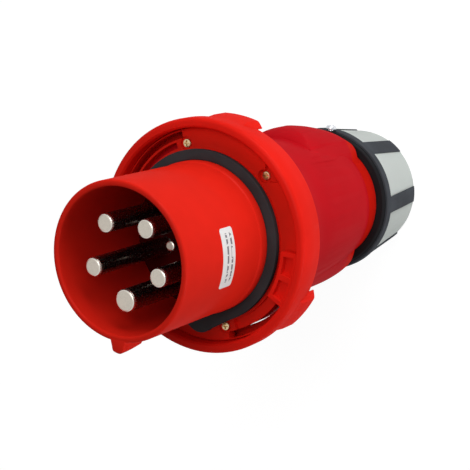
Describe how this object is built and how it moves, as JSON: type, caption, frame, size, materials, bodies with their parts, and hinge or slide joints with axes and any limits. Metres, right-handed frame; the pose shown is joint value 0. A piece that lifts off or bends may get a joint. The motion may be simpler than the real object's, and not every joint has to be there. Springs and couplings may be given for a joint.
{
  "type": "industrial pin and sleeve plug",
  "caption": "Round industrial power plug with a shrouded set of contact pins, a bayonet locking ring, a tapered handle and a clamping cable gland.",
  "frame": {"origin": "centre of the gland nut's rear face, on the plug's axis", "axes": "+Z along the axis from the gland to the mouth of the sleeve, -Y to the key and the earth pin, +X to the right as seen from the mouth"},
  "size_m": [0.1304, 0.1308, 0.271],
  "materials": {
    "red_sleeve": "smooth moulded red",
    "red_ring": "smooth moulded bright red",
    "crimson_handle": "glossy moulded crimson",
    "carrier_red": "matt moulded dark red",
    "carrier_black": "matt moulded black",
    "contact_metal": "nickel plated brass",
    "screw_yellow": "yellow passivated",
    "screw_zinc": "bright zinc plate",
    "black_rubber": "matt rubber",
    "black_collar": "satin moulded black",
    "light_grey": "satin moulded light grey",
    "dark_grey": "soft touch dark grey"
  },
  "bodies": {
    "plug_body": {"sleeve_housing": "red_sleeve", "flange_gasket": "black_rubber", "flange_screws": "screw_yellow", "contact_carrier": "carrier_red", "carrier_plate": "carrier_black", "carrier_screws": "screw_zinc", "phase_pin_l1": "contact_metal", "phase_pin_l2": "contact_metal", "phase_pin_l3": "contact_metal", "neutral_pin": "contact_metal", "earth_pin": "contact_metal", "pilot_pin": "contact_metal", "terminal_screws": "screw_zinc", "pilot_screw": "screw_zinc", "body_seal": "black_rubber", "handle_shell": "crimson_handle", "gland_collar": "black_collar", "lock_screw": "screw_zinc", "cable_grommet": "black_rubber", "clamp_cage": "light_grey"},
    "ring": {"locking_ring": "red_ring"},
    "thrust": {"thrust_ring": "carrier_black"},
    "nut": {"gland_nut": "light_grey", "nut_grip": "dark_grey"}
  },
  "joints": [
    {"name": "ring_turn", "type": "hinge", "parent": "plug_body", "child": "ring", "pos_m": [0, 0, 0.187], "axis": [0, 0, 1], "range_deg": [0, 50]},
    {"name": "thrust_slide", "type": "slide", "parent": "plug_body", "child": "thrust", "axis": [0, 0, 1], "range_m": [-0.0091, 0]},
    {"name": "nut_turn", "type": "hinge", "parent": "thrust", "child": "nut", "pos_m": [0, 0, 0.03], "axis": [0, 0, 1], "range_deg": [-1080, 0]}
  ],
  "couplings": [
    {"joint": "thrust_slide", "follows": "nut_turn", "m_per_rad": 0.00047746}
  ]
}
